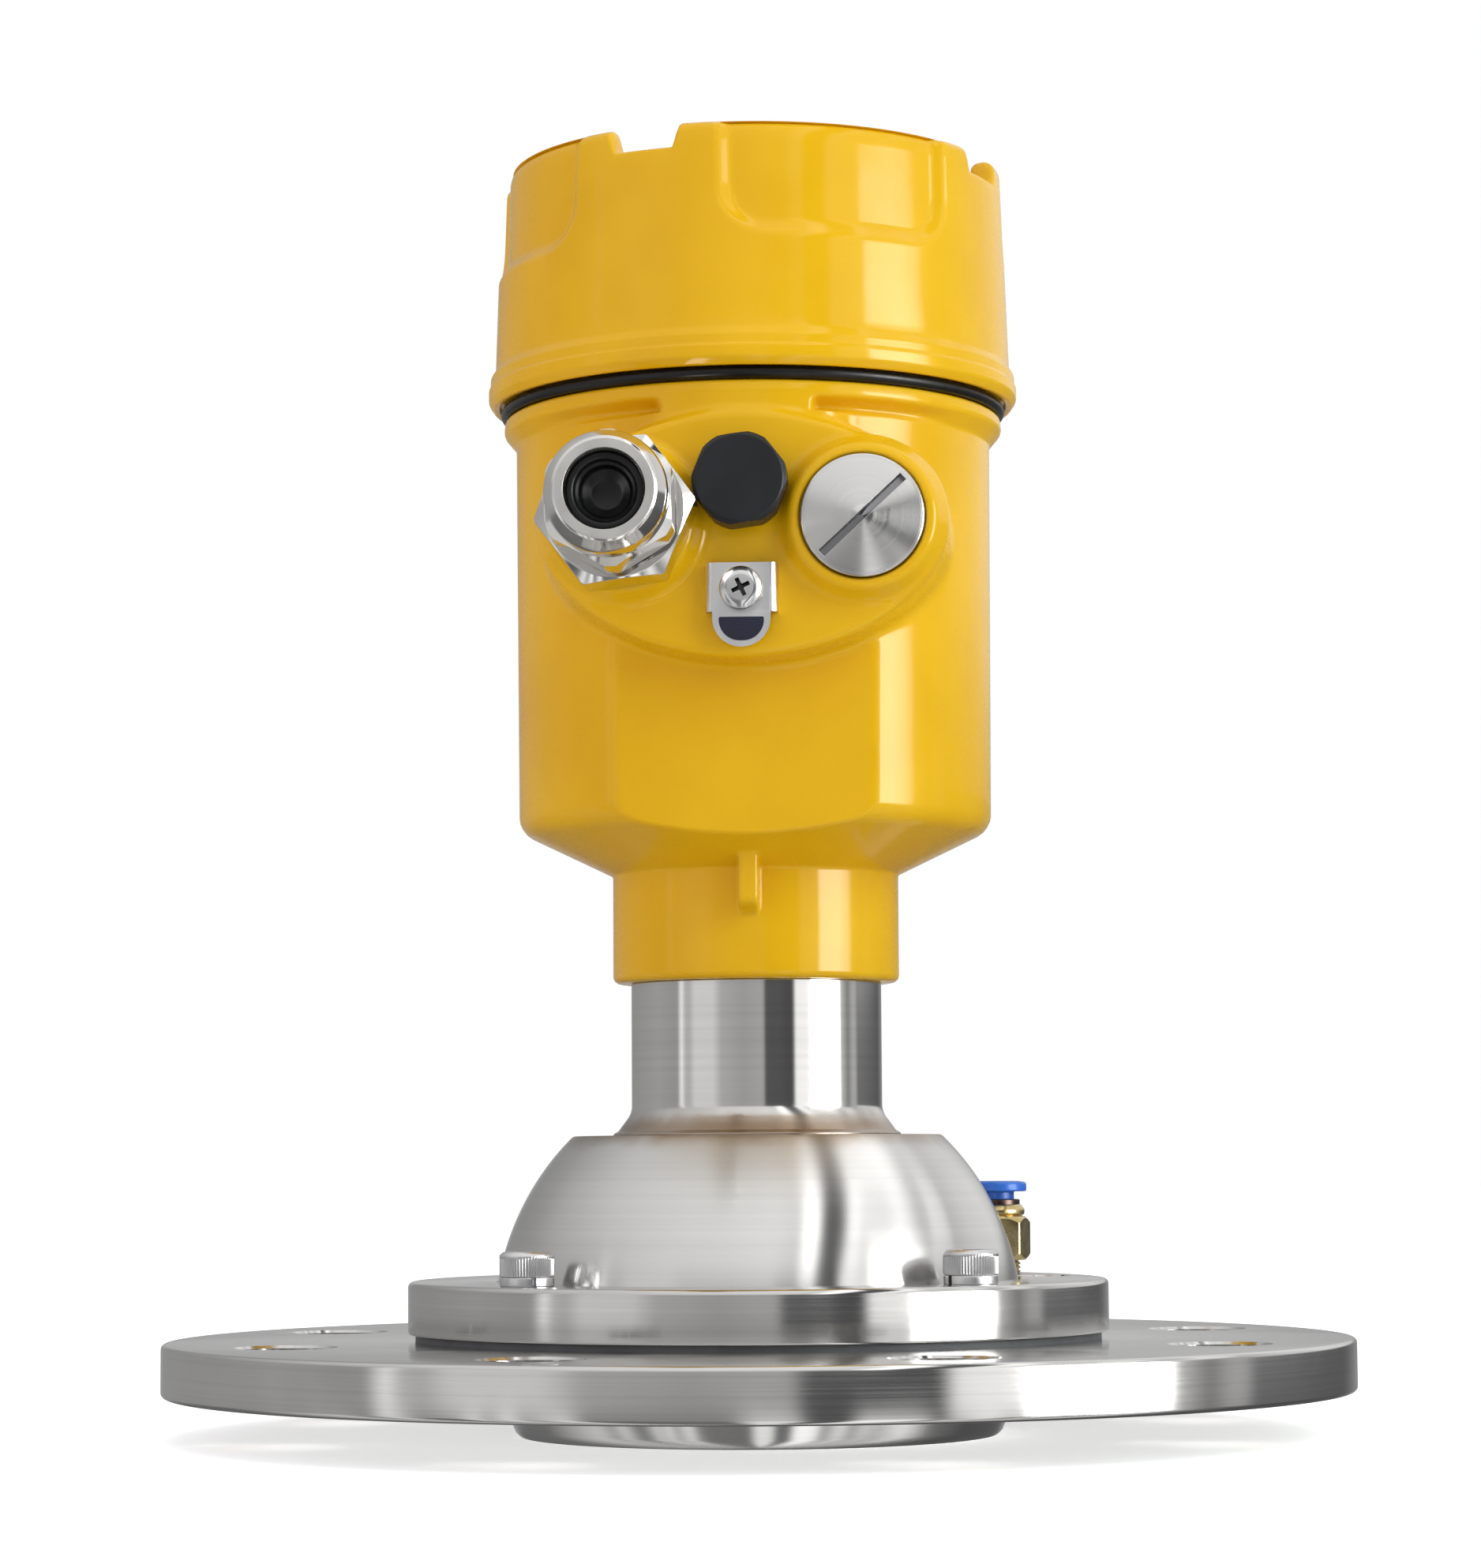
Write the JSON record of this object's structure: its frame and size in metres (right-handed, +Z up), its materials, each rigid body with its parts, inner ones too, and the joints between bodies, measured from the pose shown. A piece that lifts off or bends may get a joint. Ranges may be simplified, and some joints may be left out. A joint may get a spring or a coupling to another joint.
{
  "type": "radar level transmitter",
  "caption": "Radar level transmitter: painted cast head with screw cover and sight glass, on an aimable stainless ball joint clamped in a bolted process flange with purge air fitting.",
  "frame": {"origin": "centre of the process flange's lower face", "axes": "+Z up along the flange axis to the screw cover; the cable entries face -Y; +X to the right seen from the entries"},
  "size_m": [0.22, 0.22, 0.2364],
  "materials": {
    "stainless_turned": "lathe-turned stainless, satin",
    "stainless_ball": "finely turned stainless",
    "stainless_tube": "machined stainless tube, heat tint at the weld",
    "screw_steel": "plain stainless fasteners",
    "stainless_sheet": "pressed stainless sheet",
    "stainless_faced": "face turned with fine rings",
    "yellow_paint": "glossy powder coat on a casting",
    "nickel_brass": "bright nickel plating",
    "bare_brass": "bare brass",
    "dark_metal": "dark plated steel",
    "blue_plastic": "moulded blue plastic",
    "black_rubber": "satin black rubber",
    "seat_ptfe": "white fluoroplastic",
    "lens_plastic": "natural engineering plastic",
    "horn_aluminium": "machined aluminium",
    "black_plastic": "fine-textured black plastic",
    "grey_plastic": "moulded grey plastic",
    "label_blue": "dark blue enamel, bare of words",
    "sight_glass": "toughened flat glass",
    "screen_glass": "unlit liquid crystal window",
    "key_plastic": "moulded keys"
  },
  "bodies": {
    "base": {"main_flange": "stainless_turned", "clamp_gasket": "black_rubber", "clamp_ring": "stainless_turned", "clamp_screws": "screw_steel", "clamp_spring_washers": "screw_steel", "purge_fitting_body": "bare_brass", "purge_fitting_ring": "dark_metal", "purge_tube_seal": "black_rubber", "purge_collet": "screw_steel"},
    "seat": {"ball_seat_ring": "seat_ptfe"},
    "antenna_ball": {"ball_joint": "stainless_ball", "lens_seal": "black_rubber", "lens_antenna": "lens_plastic", "lens_retaining_ring": "stainless_ball", "feed_horn": "horn_aluminium", "hf_module": "horn_aluminium", "neck_tube": "stainless_tube", "neck_seal": "black_rubber", "neck_snap_ring": "screw_steel"},
    "head": {"housing": "yellow_paint", "housing_lock_screw": "screw_steel", "gland_body": "nickel_brass", "gland_gasket": "black_rubber", "blanking_plug": "stainless_faced", "vent_plug": "black_plastic", "vent_seal": "black_rubber", "vent_membrane": "seat_ptfe", "earth_saddle": "stainless_sheet", "earth_label": "label_blue", "earth_screw": "screw_steel", "electronics_module": "black_plastic", "terminal_block": "grey_plastic", "terminal_screws": "screw_steel", "display_module": "black_plastic", "display_screen": "screen_glass"},
    "gland_sleeve": {"gland_cage": "black_plastic", "gland_seal_insert": "black_rubber"},
    "gland_nut": {"gland_nut": "nickel_brass"},
    "cover_ring": {"cover_o_ring": "black_rubber"},
    "screw_cover": {"cover": "yellow_paint", "glass_gasket": "black_rubber", "sight_glass": "sight_glass", "glass_retaining_ring": "horn_aluminium"},
    "release_collar": {"purge_release_collar": "blue_plastic"},
    "key_1": {"display_key_1": "key_plastic"},
    "key_2": {"display_key_2": "key_plastic"},
    "key_3": {"display_key_3": "key_plastic"},
    "key_4": {"display_key_4": "key_plastic"}
  },
  "joints": [
    {"name": "aim_turn", "type": "hinge", "parent": "base", "child": "seat", "pos_m": [0, 0, 0.012], "axis": [0, 0, 1], "continuous": true},
    {"name": "aim_tilt", "type": "hinge", "parent": "seat", "child": "antenna_ball", "pos_m": [0, 0, 0.012], "axis": [1, 0, 0], "range_deg": [-10, 10]},
    {"name": "head_turn", "type": "hinge", "parent": "antenna_ball", "child": "head", "pos_m": [0, 0, 0.08], "axis": [0, 0, 1], "range_deg": [-165, 165]},
    {"name": "cover_lift", "type": "slide", "parent": "head", "child": "cover_ring", "axis": [0, 0, 1], "range_m": [0, 0.012]},
    {"name": "cover_turn", "type": "hinge", "parent": "cover_ring", "child": "screw_cover", "pos_m": [0, 0, 0.2], "axis": [0, 0, 1], "range_deg": [0, 2160]},
    {"name": "gland_sleeve_slide", "type": "slide", "parent": "head", "child": "gland_sleeve", "axis": [0, -1, 0], "range_m": [0, 0.0045]},
    {"name": "gland_nut_turn", "type": "hinge", "parent": "gland_sleeve", "child": "gland_nut", "pos_m": [-0.0215, -0.075, 0.1556], "axis": [0, -1, 0], "range_deg": [0, 1080]},
    {"name": "release_press", "type": "slide", "parent": "base", "child": "release_collar", "axis": [0, 0, -1], "range_m": [0, 0.0012], "stiffness_N_per_m": 400},
    {"name": "key_1_press", "type": "slide", "parent": "head", "child": "key_1", "axis": [0, 0, -1], "range_m": [0, 0.0006], "stiffness_N_per_m": 600},
    {"name": "key_2_press", "type": "slide", "parent": "head", "child": "key_2", "axis": [0, 0, -1], "range_m": [0, 0.0006], "stiffness_N_per_m": 600},
    {"name": "key_3_press", "type": "slide", "parent": "head", "child": "key_3", "axis": [0, 0, -1], "range_m": [0, 0.0006], "stiffness_N_per_m": 600},
    {"name": "key_4_press", "type": "slide", "parent": "head", "child": "key_4", "axis": [0, 0, -1], "range_m": [0, 0.0006], "stiffness_N_per_m": 600}
  ],
  "couplings": [
    {"joint": "cover_lift", "follows": "cover_turn", "m_per_rad": 0.00031831},
    {"joint": "gland_nut_turn", "follows": "gland_sleeve_slide", "rad_per_m": 4188.8}
  ]
}
